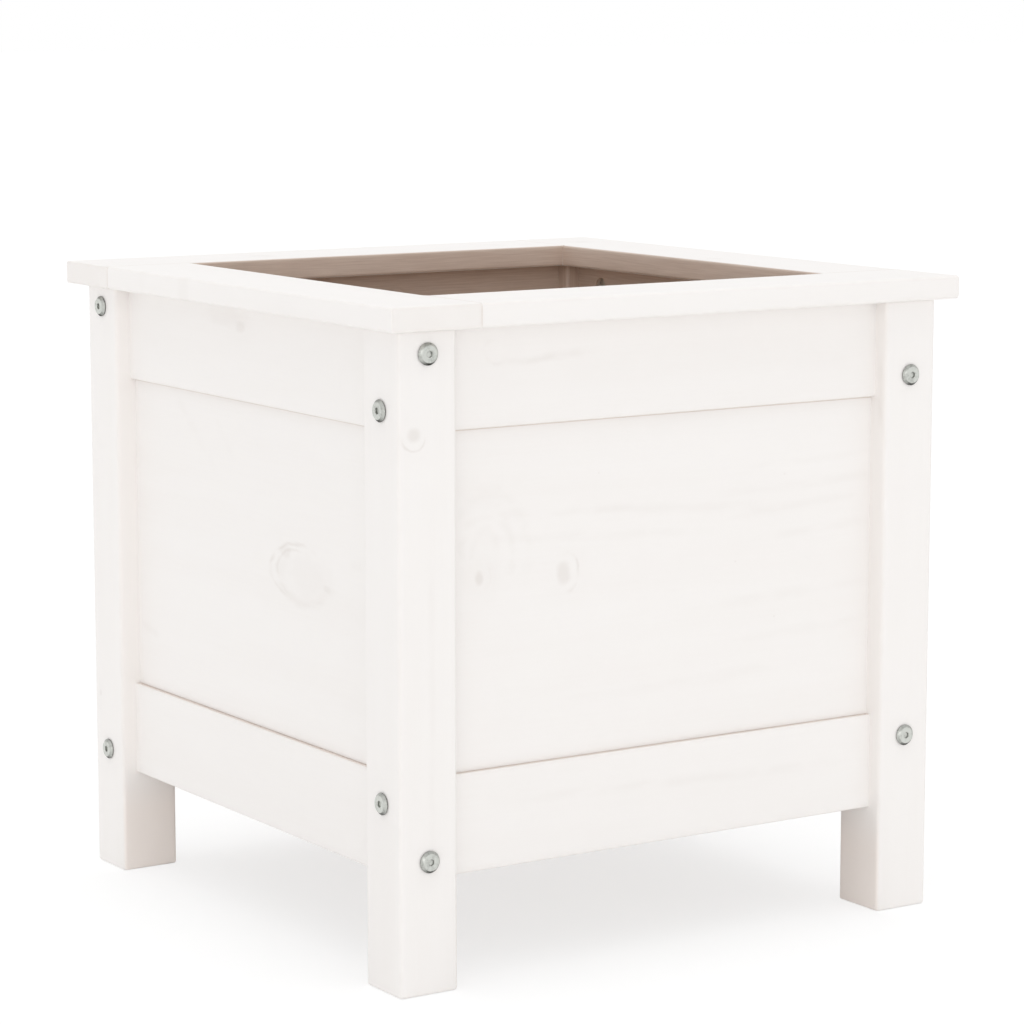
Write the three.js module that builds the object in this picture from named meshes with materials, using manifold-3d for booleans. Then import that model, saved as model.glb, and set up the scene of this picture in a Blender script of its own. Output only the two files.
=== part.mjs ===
// A square wooden planter: four legs, four panelled sides bolted between them, a flat rim
// and a slatted base. Millimetres, +Z up, standing on Z = 0, with its front towards -Y.
import * as THREE from "three";
import { mergeVertices } from "three/addons/utils/BufferGeometryUtils.js";
import Module from "manifold-3d";

const wasm = await Module();
wasm.setup();

// Overall
const rimSide = 400; // outer side of the square rim
const overallHeight = 390; // floor to the top of the rim
const rimOverhang = 10; // rim edge past the legs' outer faces
const footClearance = 64; // floor to the lower edge of the bottom rails

// Boards
const legSide = 38;
const legEdgeRadius = 2.5;
const railHeight = 58;
const railThickness = 18;
const railEdgeRadius = 1;
const panelRecess = 3.5; // each face of a panel behind the face of its rails
const rimBoardWidth = 58;
const rimBoardThickness = 14;
const rimEdgeRadius = 1.8;
const cleatSide = 18;
const slatThickness = 14;
const slatCount = 5;
const slatGap = 3; // drainage gap between two slats
const slatClearance = 1; // from the slats to the legs and rails round them
const boardEdgeChamfer = 0.6; // on panels, cleats and slats
const endEasingShare = 0.6; // easing at the end of a piece, as a share of that on its edges

// Joints
const jointGap = 0.3; // between two faces that meet
const rimSeam = 0.4; // between the end of a rim board and the side of the next
const grooveDepth = 6; // panel groove in the edge of a rail
const grooveSideClearance = 0.3; // on each face of the panel
const grooveEndClearance = 0.5; // beyond the edge of the panel
const dowelDiameter = 8;
const dowelLength = 30;
const legDowelCover = 6; // wood between the tip of a dowel and the bolt that crosses the leg
const rimDowelCover = 5; // rim board above the tip of a rim dowel
const rimDowelInset = 50; // corner of the rim's opening to the axis of a rim dowel
const holeClearance = 0.3; // all round a dowel, bolt or nut, and past its end

// Bolts and barrel nuts
const boltDiameter = 6;
const boltTipStandOut = 0.4; // past the barrel nut
const boltTipChamfer = 0.8;
const boltHoleRunOut = 4; // past the tip of the bolt
const headDiameter = 13;
const headThickness = 2;
const headBevel = 1.1; // width of the sloping edge, seen from the front
const headBand = 0.6; // thickness of the straight edge under the bevel
const socketWall = 1; // from the flats of the hexagon socket to the surface of the shank
const socketDepth = 3.2;
const nutDiameter = 10;
const nutInset = 26; // end of the rail to the axis of the nut
const nutRecess = 2.5; // from each face of the rail to the end of the nut
const nutGrooveCover = 2; // wood between the nut and the panel groove
const nutChamfer = 0.6;
const slotWidth = 1.6;
const slotDepth = 1.4;

// Facets and cutters
const boltSegments = 16;
const pegSegments = 12; // barrel nuts, dowels and all round holes
const edgeSteps = 2; // curve steps on the rounded edges of legs and rim
const easingSteps = 1; // curve steps on the small edges of the other boards
const cutOverrun = 1; // how far a cutter runs past the face that it opens

// Worked out from the sizes above
const legHeight = overallHeight - rimBoardThickness - jointGap;
const legCentre = rimSide / 2 - rimOverhang - legSide / 2;
const legSpacing = 2 * legCentre - legSide;
const railLength = legSpacing - 2 * jointGap;
const railFace = legCentre - railThickness / 2; // inner face, from the middle of the planter
const topRailCentre = legHeight - railHeight / 2;
const bottomRailCentre = footClearance + railHeight / 2;
const panelThickness = railThickness - 2 * panelRecess;
const panelGrip = grooveDepth - grooveEndClearance; // part of the panel inside each groove
const panelHeight = topRailCentre - bottomRailCentre - railHeight + 2 * panelGrip;
const panelCentre = (topRailCentre + bottomRailCentre) / 2;
const boltOffset = railHeight / 2 - grooveDepth - nutGrooveCover - nutDiameter / 2;
const boltReach = nutInset + nutDiameter / 2 + boltTipStandOut; // part of the bolt in the rail
const legDowelEntry = legSide / 2 - boltDiameter / 2 - legDowelCover;
const rimDowelEntry = rimBoardThickness - rimDowelCover;
const rimDowelX = rimSide / 2 - rimBoardWidth - rimDowelInset;

// Turns a piece drawn along Z, with its section across X and Y, to lie along X.
const alongX = new THREE.Matrix4().makeBasis(
  new THREE.Vector3(0, 1, 0),
  new THREE.Vector3(0, 0, 1),
  new THREE.Vector3(1, 0, 0),
);

function asSolid(geometry) {
  const bare = new THREE.BufferGeometry();
  bare.setAttribute("position", geometry.getAttribute("position"));
  bare.setIndex(geometry.index);
  const merged = mergeVertices(bare, 1e-4);
  return new wasm.Manifold(
    new wasm.Mesh({
      numProp: 3,
      vertProperties: merged.getAttribute("position").array,
      triVerts: new Uint32Array(merged.index.array),
    }),
  );
}

function asGeometry(solid) {
  const { vertProperties, triVerts } = solid.getMesh();
  const indexed = new THREE.BufferGeometry();
  indexed.setAttribute("position", new THREE.BufferAttribute(vertProperties, 3));
  indexed.setIndex(new THREE.BufferAttribute(triVerts, 1));
  const faceted = indexed.toNonIndexed();
  faceted.computeVertexNormals();
  return faceted;
}

// Joins the added pieces to the base, then cuts the removed ones out of it.
function combine(base, added, removed) {
  let solid = asSolid(base);
  for (const piece of added) {
    solid = solid.add(asSolid(piece));
  }
  for (const piece of removed) {
    solid = solid.subtract(asSolid(piece));
  }
  return asGeometry(solid);
}

// A round bar from one point to another, its corners on the true circle.
function roundBar(diameter, from, to, segments = pegSegments) {
  const start = new THREE.Vector3(...from);
  const run = new THREE.Vector3(...to).sub(start);
  const bar = new THREE.CylinderGeometry(diameter / 2, diameter / 2, run.length(), segments);
  const turn = new THREE.Quaternion().setFromUnitVectors(
    new THREE.Vector3(0, 1, 0),
    run.clone().normalize(),
  );
  bar.applyQuaternion(turn);
  bar.translate(...start.addScaledVector(run, 0.5));
  return bar;
}

// The cutter for a bar of this diameter: the true circle touches its flats.
function roundCutter(diameter, from, to) {
  const acrossFlats = diameter + 2 * holeClearance;
  return roundBar(acrossFlats / Math.cos(Math.PI / pegSegments), from, to);
}

function roundedRectangle(width, height, radius) {
  const x = width / 2 - radius;
  const y = height / 2 - radius;
  const shape = new THREE.Shape();
  shape.absarc(x, y, radius, 0, Math.PI / 2);
  shape.absarc(-x, y, radius, Math.PI / 2, Math.PI);
  shape.absarc(-x, -y, radius, Math.PI, 1.5 * Math.PI);
  shape.absarc(x, -y, radius, 1.5 * Math.PI, 2 * Math.PI);
  shape.closePath();
  return shape;
}

function chamferedRectangle(width, height, chamfer) {
  const x = width / 2;
  const y = height / 2;
  const corners = [
    [x, y - chamfer],
    [x - chamfer, y],
    [chamfer - x, y],
    [-x, y - chamfer],
    [-x, chamfer - y],
    [chamfer - x, -y],
    [x - chamfer, -y],
    [x, chamfer - y],
  ];
  return new THREE.Shape(corners.map((corner) => new THREE.Vector2(...corner)));
}

// A length of stock with its section centred on Z and both ends eased.
function stock(section, length, easing, steps) {
  const piece = new THREE.ExtrudeGeometry(section, {
    depth: length - 2 * easing,
    bevelEnabled: easing > 0,
    bevelThickness: easing,
    bevelSize: easing,
    bevelOffset: -easing,
    bevelSegments: steps,
    curveSegments: steps,
  });
  piece.translate(0, 0, easing - length / 2);
  return piece;
}

// A board centred on the origin: length along X, width along Y, thickness along Z.
function board(length, width, thickness) {
  const section = chamferedRectangle(width, thickness, boardEdgeChamfer);
  const piece = stock(section, length, endEasingShare * boardEdgeChamfer, easingSteps);
  piece.applyMatrix4(alongX);
  return piece;
}

// Section of a top rail: thickness across, height up, and the panel groove in its lower edge.
function railSection() {
  const x = railThickness / 2 - railEdgeRadius;
  const y = railHeight / 2 - railEdgeRadius;
  const grooveHalf = panelThickness / 2 + grooveSideClearance;
  const grooveFloor = grooveDepth - railHeight / 2;
  const section = new THREE.Shape();
  section.absarc(x, y, railEdgeRadius, 0, Math.PI / 2);
  section.absarc(-x, y, railEdgeRadius, Math.PI / 2, Math.PI);
  section.absarc(-x, -y, railEdgeRadius, Math.PI, 1.5 * Math.PI);
  section.lineTo(-grooveHalf, -railHeight / 2);
  section.lineTo(-grooveHalf, grooveFloor);
  section.lineTo(grooveHalf, grooveFloor);
  section.lineTo(grooveHalf, -railHeight / 2);
  section.absarc(x, -y, railEdgeRadius, 1.5 * Math.PI, 2 * Math.PI);
  section.closePath();
  return section;
}

// A rail lies along X with its inner face towards +Y. Outward is 1 for a top rail and -1 for
// a bottom rail, whose groove is in its upper edge. The bolt at the left end is on the
// panel's side of the rail's middle and the one at the right end is on the other side. A
// dowel mirrors each bolt.
function rail(outward) {
  const body = stock(railSection(), railLength, 0, easingSteps);
  body.applyMatrix4(alongX);
  if (outward < 0) {
    body.rotateX(Math.PI);
  }
  const added = [];
  const removed = [];
  for (const end of [-1, 1]) {
    const endX = (end * railLength) / 2;
    const openX = endX + end * cutOverrun;
    const boltZ = end * outward * boltOffset;
    const boltHoleX = endX - end * (boltReach + boltHoleRunOut);
    const nutX = endX - end * nutInset;
    const nutHoleY = nutRecess - railThickness / 2 - holeClearance;
    const dowelTipX = endX + end * (jointGap + legDowelEntry);
    const dowelRootX = dowelTipX - end * dowelLength;
    removed.push(
      roundCutter(boltDiameter, [boltHoleX, 0, boltZ], [openX, 0, boltZ]),
      roundCutter(nutDiameter, [nutX, nutHoleY, boltZ], [nutX, railThickness / 2 + cutOverrun, boltZ]),
    );
    added.push(roundBar(dowelDiameter, [dowelRootX, 0, -boltZ], [dowelTipX, 0, -boltZ]));
    if (outward > 0) {
      const x = end * rimDowelX;
      const tipZ = railHeight / 2 + jointGap + rimDowelEntry;
      added.push(roundBar(dowelDiameter, [x, 0, tipZ - dowelLength], [x, 0, tipZ]));
    }
  }
  return combine(body, added, removed);
}

// The front left leg, standing on the origin with its outer faces towards -X and -Y. The
// bolts along X and those along Y pass at different heights, and each blind dowel hole
// stops short of the bolt that crosses the leg there.
function leg() {
  const section = roundedRectangle(legSide, legSide, legEdgeRadius);
  const body = stock(section, legHeight, endEasingShare * legEdgeRadius, edgeSteps);
  body.translate(0, 0, legHeight / 2);
  const outside = -legSide / 2 - cutOverrun;
  const inside = legSide / 2 + cutOverrun;
  const dowelFloor = legSide / 2 - legDowelEntry - holeClearance;
  const removed = [];
  for (const [railCentre, outward] of [
    [topRailCentre, 1],
    [bottomRailCentre, -1],
  ]) {
    const outerZ = railCentre + outward * boltOffset;
    const innerZ = railCentre - outward * boltOffset;
    removed.push(
      roundCutter(boltDiameter, [outside, 0, innerZ], [inside, 0, innerZ]),
      roundCutter(boltDiameter, [0, outside, outerZ], [0, inside, outerZ]),
      roundCutter(dowelDiameter, [dowelFloor, 0, outerZ], [inside, 0, outerZ]),
      roundCutter(dowelDiameter, [0, dowelFloor, innerZ], [0, inside, innerZ]),
    );
  }
  return combine(body, [], removed);
}

// The rim board of the front side, in its place over that side's top rail. Its left end is
// cut square to meet the left board, and its right end shows at the corner, rounded.
function rimBoard() {
  const rightEnd = rimSide / 2;
  const leftEnd = rimBoardWidth + rimSeam - rimSide / 2;
  const centreY = (rimBoardWidth - rimSide) / 2;
  const centreZ = overallHeight - rimBoardThickness / 2;
  const easing = endEasingShare * rimEdgeRadius;
  const length = rightEnd - leftEnd + easing; // with the eased left end still to be cut off
  const section = roundedRectangle(rimBoardWidth, rimBoardThickness, rimEdgeRadius);
  const body = stock(section, length, easing, edgeSteps);
  body.applyMatrix4(alongX);
  body.translate(rightEnd - length / 2, centreY, centreZ);
  const offcut = new THREE.BoxGeometry(2 * easing, 2 * rimBoardWidth, 2 * rimBoardThickness);
  offcut.translate(leftEnd - easing, centreY, centreZ);
  const dowelHoles = [-rimDowelX, rimDowelX].map((x) => {
    const mouth = [x, -legCentre, legHeight - cutOverrun];
    const ceiling = [x, -legCentre, legHeight + jointGap + rimDowelEntry + holeClearance];
    return roundCutter(dowelDiameter, mouth, ceiling);
  });
  return combine(body, [], [offcut, ...dowelHoles]);
}

// A body of revolution about X, from its profile of [radius, distance along X] points.
function turned(profile, segments) {
  const points = profile.map((point) => new THREE.Vector2(...point));
  const piece = new THREE.LatheGeometry(points, segments);
  piece.rotateZ(-Math.PI / 2);
  return piece;
}

// A bolt along +X, with the underside of its head at X = 0.
function bolt() {
  const length = legSide + 2 * jointGap + boltReach;
  const shank = boltDiameter / 2;
  const profile = [
    [0, -headThickness],
    [headDiameter / 2 - headBevel, -headThickness],
    [headDiameter / 2, -headBand],
    [headDiameter / 2, 0],
    [shank, 0],
    [shank, length - boltTipChamfer],
    [shank - boltTipChamfer, length],
    [0, length],
  ];
  const acrossCorners = (boltDiameter - 2 * socketWall) / Math.cos(Math.PI / 6);
  const socketMouth = [-headThickness - cutOverrun, 0, 0];
  const socketFloor = [socketDepth - headThickness, 0, 0];
  const socket = roundBar(acrossCorners, socketMouth, socketFloor, 6);
  return combine(turned(profile, boltSegments), [], [socket]);
}

// A barrel nut centred on the origin, its axis along Y and its slotted end towards +Y.
function barrelNut() {
  const half = railThickness / 2 - nutRecess;
  const radius = nutDiameter / 2;
  const profile = [
    [0, -half],
    [radius - nutChamfer, -half],
    [radius, nutChamfer - half],
    [radius, half - nutChamfer],
    [radius - nutChamfer, half],
    [0, half],
  ];
  const body = turned(profile, pegSegments);
  body.rotateZ(Math.PI / 2);
  const boltHole = roundCutter(boltDiameter, [-nutDiameter, 0, 0], [nutDiameter, 0, 0]);
  const slot = new THREE.BoxGeometry(2 * nutDiameter, 2 * slotDepth, slotWidth);
  slot.translate(0, half, 0);
  return combine(body, [], [boltHole, slot]);
}

function paintedWood() {
  return new THREE.MeshStandardMaterial({ color: 0xf4f1ee, roughness: 0.5, metalness: 0 });
}

function zincSteel() {
  return new THREE.MeshStandardMaterial({ color: 0xc9c6bf, roughness: 0.35, metalness: 1 });
}

function place(group, name, geometry, material, x, y, z) {
  const mesh = new THREE.Mesh(geometry, material);
  mesh.name = name;
  mesh.position.set(x, y, z);
  group.add(mesh);
  return mesh;
}

// The bolts and barrel nuts at both ends of one rail. End is -1 at the left and 1 at the right.
function addFasteners(side, sideName, railName, railCentre, outward) {
  for (const [end, endName] of [
    [-1, "left"],
    [1, "right"],
  ]) {
    const z = railCentre + end * outward * boltOffset;
    const headX = end * (legCentre + legSide / 2 + jointGap);
    const nutX = end * (railLength / 2 - nutInset);
    const label = `${sideName}_${railName}_${endName}`;
    const fastener = place(side, `bolt_${label}`, bolt(), zincSteel(), headX, -legCentre, z);
    fastener.rotation.z = end > 0 ? Math.PI : 0;
    place(side, `barrel_nut_${label}`, barrelNut(), zincSteel(), nutX, -legCentre, z);
  }
}

// One side with the leg at its left end, as seen from outside with the side at the front.
function planterSide(sideName, legName) {
  const side = new THREE.Group();
  const panel = board(railLength, panelThickness, panelHeight);
  place(side, `leg_${legName}`, leg(), paintedWood(), -legCentre, -legCentre, 0);
  place(side, `top_rail_${sideName}`, rail(1), paintedWood(), 0, -legCentre, topRailCentre);
  place(side, `bottom_rail_${sideName}`, rail(-1), paintedWood(), 0, -legCentre, bottomRailCentre);
  place(side, `panel_${sideName}`, panel, paintedWood(), 0, -legCentre, panelCentre);
  place(side, `rim_board_${sideName}`, rimBoard(), paintedWood(), 0, 0, 0);
  addFasteners(side, sideName, "top", topRailCentre, 1);
  addFasteners(side, sideName, "bottom", bottomRailCentre, -1);
  return side;
}

// A base slat from front to back, notched where it meets a leg.
function slat(centreX, width) {
  const body = board(2 * (railFace - slatClearance), width, slatThickness);
  body.rotateZ(Math.PI / 2);
  const notchSide = legSide + 2 * slatClearance;
  const notches = [];
  for (const legX of [-legCentre, legCentre]) {
    for (const legY of [-legCentre, legCentre]) {
      const notch = new THREE.BoxGeometry(notchSide, notchSide, 2 * slatThickness);
      notch.translate(legX - centreX, legY, 0);
      notches.push(notch);
    }
  }
  return combine(body, [], notches);
}

// Two cleats on the inner faces of the front and back bottom rails, and the slats on them.
function base() {
  const group = new THREE.Group();
  const cleatY = railFace - jointGap - cleatSide / 2;
  for (const [name, way] of [
    ["front", -1],
    ["back", 1],
  ]) {
    const cleat = board(railLength, cleatSide, cleatSide);
    place(group, `cleat_${name}`, cleat, paintedWood(), 0, way * cleatY, bottomRailCentre);
  }
  const slatRun = 2 * (railFace - slatClearance);
  const slatWidth = (slatRun - (slatCount - 1) * slatGap) / slatCount;
  const slatZ = bottomRailCentre + cleatSide / 2 + jointGap + slatThickness / 2;
  for (let i = 0; i < slatCount; i += 1) {
    const x = (i - (slatCount - 1) / 2) * (slatWidth + slatGap);
    place(group, `base_slat_${i + 1}`, slat(x, slatWidth), paintedWood(), x, 0, slatZ);
  }
  return group;
}

const planter = new THREE.Group();
[
  ["front", "front_left"],
  ["right", "front_right"],
  ["back", "back_right"],
  ["left", "back_left"],
].forEach(([sideName, legName], quarter) => {
  const side = planterSide(sideName, legName);
  side.rotation.z = (quarter * Math.PI) / 2;
  planter.add(side);
});
planter.add(base());

export default planter;
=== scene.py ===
import math
import bpy
import numpy as np
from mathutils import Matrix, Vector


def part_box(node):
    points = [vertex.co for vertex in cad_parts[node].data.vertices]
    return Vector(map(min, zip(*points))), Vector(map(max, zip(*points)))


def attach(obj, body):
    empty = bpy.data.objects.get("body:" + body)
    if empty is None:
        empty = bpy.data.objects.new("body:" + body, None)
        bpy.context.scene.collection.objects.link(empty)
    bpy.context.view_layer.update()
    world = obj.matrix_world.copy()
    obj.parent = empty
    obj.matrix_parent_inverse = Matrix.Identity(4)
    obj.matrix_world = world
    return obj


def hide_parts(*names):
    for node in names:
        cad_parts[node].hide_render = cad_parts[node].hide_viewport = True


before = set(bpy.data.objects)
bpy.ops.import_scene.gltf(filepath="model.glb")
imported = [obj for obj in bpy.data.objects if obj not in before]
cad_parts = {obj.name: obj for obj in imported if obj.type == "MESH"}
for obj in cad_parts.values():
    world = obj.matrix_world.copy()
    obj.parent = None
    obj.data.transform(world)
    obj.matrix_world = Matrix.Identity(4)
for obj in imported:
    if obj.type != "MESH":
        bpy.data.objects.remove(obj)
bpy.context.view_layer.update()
print("frame loaded:", len(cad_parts), "nodes")

# The camera looks at the front left corner, as the photograph does.
photoView = {
    "place": (-1.149466, -1.773595, 0.556172),  # metres
    "turn": -33.135,  # degrees round the upright axis; 0 looks along +Y
    "tilt": 8.587,  # degrees below the horizon
    "lens": 120.0,  # mm, on a sensor 36 mm wide
}


def pieceFrom(name, data):  # a mesh, a camera or a light as an object in the scene
    piece = bpy.data.objects.new(name, data)
    bpy.context.scene.collection.objects.link(piece)
    return piece


def setCamera(view):
    data = bpy.data.cameras.new("photoCamera")
    data.lens = view["lens"]
    data.sensor_width = 36
    data.clip_start = 0.05
    data.clip_end = 50
    camera = pieceFrom("photoCamera", data)
    camera.location = view["place"]
    camera.rotation_euler = (math.radians(90 - view["tilt"]), 0, math.radians(view["turn"]))
    bpy.context.scene.camera = camera
    bpy.context.scene.view_settings.view_transform = "Standard"


setCamera(photoView)
print("camera set")


# Shader maths

def operators(operation):  # what a wire does as the left and as the right side of one operator
    return (lambda self, other: self.calc(operation, self, other),
            lambda self, other: self.calc(operation, other, self))


class Wire:  # one output socket, so that shader maths reads as Python
    def __init__(self, finish, socket):
        self.finish = finish
        self.socket = socket

    def calc(self, operation, *values):
        return self.finish.node("ShaderNodeMath", {"operation": operation}, dict(enumerate(values)))

    def __abs__(self):
        return self.calc("ABSOLUTE", self)

    __add__, __radd__ = operators("ADD")
    __sub__, __rsub__ = operators("SUBTRACT")
    __mul__, __rmul__ = operators("MULTIPLY")
    __truediv__, __rtruediv__ = operators("DIVIDE")
    __pow__, __rpow__ = operators("POWER")

    def least(self, other):
        return self.calc("MINIMUM", self, other)

    def most(self, other):
        return self.calc("MAXIMUM", self, other)

    def ramp(self, low, high, first=0.0, last=1.0):  # eases from 0 at low to 1 at high
        return self.finish.node("ShaderNodeMapRange", {"interpolation_type": "SMOOTHSTEP"}, {
            "Value": self, "From Min": low, "From Max": high, "To Min": first, "To Max": last})

    def fade(self, low, high):  # eases from 1 at low to 0 at high
        return self.ramp(low, high, 1.0, 0.0)

    def upTo(self, place, band):  # eases from 0 to 1 between two distances before a place
        return self.ramp(place - band[0], place - band[1])


def hypotenuse(u, v):
    return (u * u + v * v) ** 0.5


def weigh(shares, *values):  # the sum of the values, each times its share
    return sum(value * share for value, share in zip(values, shares))


class Finish:  # the nodes of a material or of the world while they are being put together
    def __init__(self, owner, shader):
        owner.use_nodes = True
        self.tree = owner.node_tree
        self.shader = self.tree.nodes[shader]

    def node(self, kind, settings=None, inputs=None, output=0):
        made = self.tree.nodes.new(kind)
        for key, value in (settings or {}).items():
            setattr(made, key, value)
        for key, value in (inputs or {}).items():
            self.plug(made.inputs[key], value)
        return Wire(self, made.outputs[output])

    def plug(self, socket, value):  # a link or a constant
        if isinstance(value, Wire):
            self.tree.links.new(value.socket, socket)
        else:
            socket.default_value = value

    def feed(self, name, value):  # into the shader's own socket
        self.plug(self.shader.inputs[name], value)

    def split(self, vector):
        made = self.node("ShaderNodeSeparateXYZ", {}, {0: vector}).socket.node
        return [Wire(self, made.outputs[i]) for i in range(3)]

    def join(self, x, y, z):
        return self.node("ShaderNodeCombineXYZ", {}, {0: x, 1: y, 2: z})

    def place(self, centre=(0, 0, 0), turn=0.0):  # of the surface, in millimetres
        metres = self.node("ShaderNodeTexCoord", output="Object")
        return self.node("ShaderNodeMapping", {"vector_type": "POINT"}, {
            "Vector": metres, "Location": centre, "Rotation": (0, 0, turn), "Scale": (1000, 1000, 1000)})

    def attribute(self, name):
        return self.node("ShaderNodeAttribute", {"attribute_name": name}, output="Fac")

    def noise(self, vector, scale, detail=2.0, roughness=0.5):
        return self.node("ShaderNodeTexNoise", {"noise_dimensions": "3D"},
                         {"Vector": vector, "Scale": scale, "Detail": detail, "Roughness": roughness})

    def mix(self, factor, first, second):
        return self.node("ShaderNodeMix", {"data_type": "RGBA", "clamp_factor": True},
                         {0: factor, 6: first, 7: second}, 2)

    def bump(self, height, strength):  # height in millimetres
        return self.node("ShaderNodeBump", {}, {"Height": height, "Distance": 0.001, "Strength": strength})


def newFinish(name):
    material = bpy.data.materials.new(name)
    return material, Finish(material, "Principled BSDF")


# Shapes, in millimetres until meshFrom puts them in the scene

def boxOf(node):  # lowest and highest corner of a CAD node
    low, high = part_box(node)
    return np.array(low) * 1000, np.array(high) * 1000


def turnQuarter(points, quarter):  # exact quarter turns about the upright axis
    cosine, sine = [(1, 0), (0, 1), (-1, 0), (0, -1)][quarter]
    x, y, z = np.asarray(points, float).T
    return np.stack([cosine * x - sine * y, sine * x + cosine * y, z], 1)


def signedVolume(points, faces):  # a sixth of the sum of a . (b x c) over fans of triangles
    total = 0.0
    for count in {len(face) for face in faces}:
        same = np.array([face for face in faces if len(face) == count])
        for corner in range(1, count - 1):
            a, b, c = points[same[:, 0]], points[same[:, corner]], points[same[:, corner + 1]]
            total += np.einsum("ij,ij->", a, np.cross(b, c)) / 6
    return total


def meshFrom(name, points, faces, values=None):
    if signedVolume(points, faces) < 0:
        faces = [face[::-1] for face in faces]
    mesh = bpy.data.meshes.new(name)
    mesh.from_pydata((points / 1000).tolist(), [], faces)
    for key, numbers in (values or {}).items():
        attribute = mesh.attributes.new(key, "FLOAT", "POINT")
        attribute.data.foreach_set("value", np.asarray(numbers, np.float32))
    return mesh


def gridFaces(rows, columns):  # quads between the rows of a grid that closes round its columns
    corner = np.arange(rows * columns).reshape(rows, columns)
    beside = np.roll(corner, -1, axis=1)
    quads = np.stack([corner[:-1], beside[:-1], beside[1:], corner[1:]], -1)
    return quads.reshape(-1, 4).tolist()


def closedGrid(rows, columns):  # and one face over each end
    lastRow = (rows - 1) * columns
    return gridFaces(rows, columns) + [list(range(columns))[::-1], list(range(lastRow, lastRow + columns))]


def gridLine(low, high, spacing, gather=(), reach=10.0, fine=1.3):
    # even steps from low to high, with finer steps round each place in gather, all rounded to half
    # of the fine step, so that no two lie closer than that
    even = np.linspace(low, high, max(2, math.ceil((high - low) / spacing) + 1))
    close = [np.arange(place - reach, place + reach, fine) for place in gather]
    inner = np.unique(np.round(np.concatenate([even, *close]) / fine * 2) * fine / 2)
    inner = inner[(inner > low + 0.4 * fine) & (inner < high - 0.4 * fine)]
    return np.concatenate([[low], inner, [high]])


def sectionLoop(width, thickness, radius, steps, spacing, gather=(), groove=None):
    # the outline of a board's section, anticlockwise, as points (across, depth) and normals; a
    # groove is (half width, depth, side, lip): side, -1 or 1, is the edge that it is in, and lip
    # is the bevel at its mouth
    x, y = width / 2 - radius, thickness / 2 - radius
    acrossLine = gridLine(-x, x, spacing, gather)[1:-1]
    depthLine = gridLine(-y, y, spacing)[1:-1]
    parts, normals = [], []

    def flat(points, normal):
        if len(points):
            parts.append(np.asarray(points, float))
            normals.append(np.tile(normal, (len(points), 1)).astype(float))

    def edge(side):
        if groove and groove[2] == side:
            half, deep, _, lip = groove
            outer, inner = side * width / 2, side * (width / 2 - deep)
            profile = [(outer, half + lip), (outer - side * lip, half), (inner, half)]
            flat([(across, -side * depth) for across, depth in profile]
                 + [(across, side * depth) for across, depth in profile[::-1]], (side, 0))
        else:
            flat(np.stack([np.full(len(depthLine), side * width / 2), side * depthLine], 1), (side, 0))

    def corner(centre, start):  # a quarter circle
        angle = np.radians(start) + np.linspace(0, math.pi / 2, steps + 1)
        normals.append(np.stack([np.cos(angle), np.sin(angle)], 1))
        parts.append(np.array(centre) + radius * normals[-1])

    edge(1)
    corner((x, y), 0)
    flat(np.stack([-acrossLine, np.full(len(acrossLine), thickness / 2)], 1), (0, 1))
    corner((-x, y), 90)
    edge(-1)
    corner((-x, -y), 180)
    flat(np.stack([acrossLine, np.full(len(acrossLine), -thickness / 2)], 1), (0, -1))
    corner((x, -y), 270)
    return np.concatenate(parts), np.concatenate(normals)


planing = {  # lengths in millimetres; the last three are shares of a knot's size
    "waves": 3,
    "run": (90, 210),  # length of a wave along the grain, across it and through the board
    "rise": (30, 60),
    "through": 70,
    "fade": 6.0,  # from an edge to where the hollows reach their full depth
    "trenchRing": 0.85,
    "trenchWidth": 0.25,
    "middle": 0.2,  # within this a knot has no clear sides
}
seamEdge = {"kept": 0.1, "change": 1.5}  # share of a rounding kept at a rim seam, and mm to get there


def surfaceHollow(board, along, across, depth):
    # how far the planed face lies under the true plane: the mean of three sine waves with their own
    # lengths and starts, and a bell-shaped trench round each knot, both fading out to nothing at
    # every edge so that the board keeps its size
    length, width, thickness = board["size"]
    toEdge = np.maximum(width / 2 - abs(across), thickness / 2 - abs(depth))
    toEdge = np.minimum(toEdge, length / 2 - abs(along))
    share = np.clip(toEdge / planing["fade"], 0, 1)
    share = share * share * (3 - 2 * share)
    draw = np.random.default_rng(board["seed"])
    waves = np.zeros_like(along)
    for _ in range(planing["waves"]):
        run, rise = draw.uniform(*planing["run"]), draw.uniform(*planing["rise"])
        turns = along / run + across / rise + depth / planing["through"]
        waves += 0.5 + 0.5 * np.sin(2 * math.pi * turns + draw.uniform(0, 2 * math.pi))
    hollow = board["unevenness"] * waves / planing["waves"]
    for knot in board["knots"]:
        u, v = (along - knot["along"]) / knot["length"], (across - knot["across"]) / knot["width"]
        reach, lean = np.hypot(u, v), math.radians(knot["lean"])
        towards = (u * math.cos(lean) + v * math.sin(lean)) / (reach + planing["middle"])
        arc = np.clip(towards - knot["open"] + 0.5, 0, 1)
        ring = (reach - planing["trenchRing"]) / planing["trenchWidth"]
        hollow = hollow + knot["trench"] * arc * np.exp(-ring ** 2)
    return hollow * share


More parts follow.
